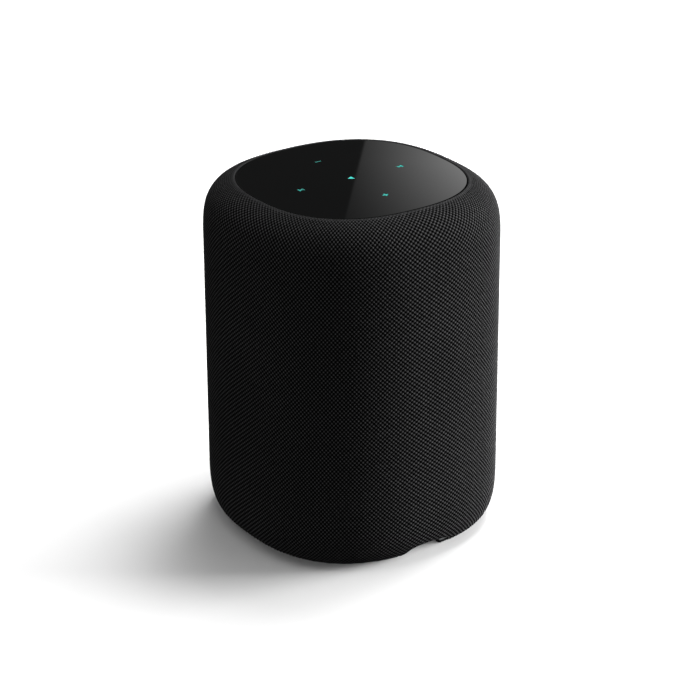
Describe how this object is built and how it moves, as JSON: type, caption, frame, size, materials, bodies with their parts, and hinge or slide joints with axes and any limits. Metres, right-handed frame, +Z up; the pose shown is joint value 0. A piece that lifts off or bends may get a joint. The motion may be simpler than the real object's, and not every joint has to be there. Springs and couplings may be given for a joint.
{
  "type": "smart home hub",
  "caption": "Free-standing rounded-square smart speaker hub in black woven fabric, with a glossy touch panel and lit icons on top, and a cable notch in the hem at the rear.",
  "frame": {"origin": "middle of the footprint, on the surface that the foot ring stands on", "axes": "+Z up; -Y is the side that faces the user; +Y is the rear with the cable notch; +X is the user's right"},
  "size_m": [0.12, 0.12, 0.157],
  "materials": {
    "woven_fabric": "matte",
    "moulded_black": "matte",
    "panel_glass": "gloss",
    "foam": "matte",
    "milk_plastic": "satin",
    "circuit_board": "satin",
    "plated_steel": "satin",
    "heat_sink_alloy": "satin",
    "copper_strip": "satin",
    "flex_film": "satin",
    "seal_rubber": "matte",
    "ferrite": "matte",
    "cone_pulp": "matte",
    "spider_cloth": "matte",
    "base_plastic": "satin",
    "rim_plastic": "satin",
    "foot_rubber": "matte",
    "icon_teal": "lit",
    "screw_steel": "satin"
  },
  "bodies": {
    "housing": {"acoustic_diffuser": "moulded_black", "antenna_left": "copper_strip", "antenna_right": "copper_strip", "base_cover": "base_plastic", "base_pan": "moulded_black", "base_rim": "rim_plastic", "base_screw_1": "screw_steel", "base_screw_2": "screw_steel", "base_screw_3": "screw_steel", "base_screw_4": "screw_steel", "board_ribbon": "flex_film", "carrier_screw_1": "screw_steel", "carrier_screw_2": "screw_steel", "carrier_screw_3": "screw_steel", "carrier_screw_4": "screw_steel", "dc_jack": "moulded_black", "enclosure_seal": "seal_rubber", "fabric_sleeve": "woven_fabric", "foot_ring": "foot_rubber", "glass_gasket": "foam", "grille_cage": "moulded_black", "heat_sink": "heat_sink_alloy", "icon_next": "icon_teal", "icon_play": "icon_teal", "icon_previous": "icon_teal", "icon_volume_down": "icon_teal", "icon_volume_up": "icon_teal", "left_radiator_frame": "moulded_black", "left_radiator_surround": "seal_rubber", "light_guide": "milk_plastic", "lower_enclosure": "moulded_black", "main_board": "circuit_board", "microphone_left": "plated_steel", "microphone_right": "plated_steel", "power_board": "circuit_board", "processor_shield": "plated_steel", "right_radiator_frame": "moulded_black", "right_radiator_surround": "seal_rubber", "top_carrier": "moulded_black", "top_glass": "panel_glass", "touch_board": "circuit_board", "tweeter_housing": "moulded_black", "tweeter_magnet": "plated_steel", "upper_enclosure": "moulded_black", "woofer_basket": "plated_steel", "woofer_magnet": "ferrite", "woofer_screw_1": "screw_steel", "woofer_screw_2": "screw_steel", "woofer_screw_3": "screw_steel", "woofer_screw_4": "screw_steel", "woofer_spider": "spider_cloth", "woofer_surround": "seal_rubber", "woofer_top_plate": "plated_steel", "woofer_yoke": "plated_steel"},
    "woofer_moving": {"woofer_cone": "cone_pulp", "woofer_dust_cap": "cone_pulp", "woofer_voice_coil": "copper_strip"},
    "left_radiator_moving": {"left_radiator_diaphragm": "heat_sink_alloy"},
    "right_radiator_moving": {"right_radiator_diaphragm": "heat_sink_alloy"},
    "tweeter_moving": {"tweeter_dome": "cone_pulp"}
  },
  "joints": [
    {"name": "woofer_excursion", "type": "slide", "parent": "housing", "child": "woofer_moving", "axis": [0, 0, -1], "range_m": [-0.004, 0.004], "stiffness_N_per_m": 1200, "deforming": ["woofer_surround", "woofer_spider"]},
    {"name": "left_radiator_excursion", "type": "slide", "parent": "housing", "child": "left_radiator_moving", "axis": [-1, 0, 0], "range_m": [-0.003, 0.003], "stiffness_N_per_m": 500},
    {"name": "right_radiator_excursion", "type": "slide", "parent": "housing", "child": "right_radiator_moving", "axis": [1, 0, 0], "range_m": [-0.003, 0.003], "stiffness_N_per_m": 500},
    {"name": "tweeter_excursion", "type": "slide", "parent": "housing", "child": "tweeter_moving", "axis": [0, -1, 0], "range_m": [-0.0005, 0.0005], "stiffness_N_per_m": 400}
  ]
}
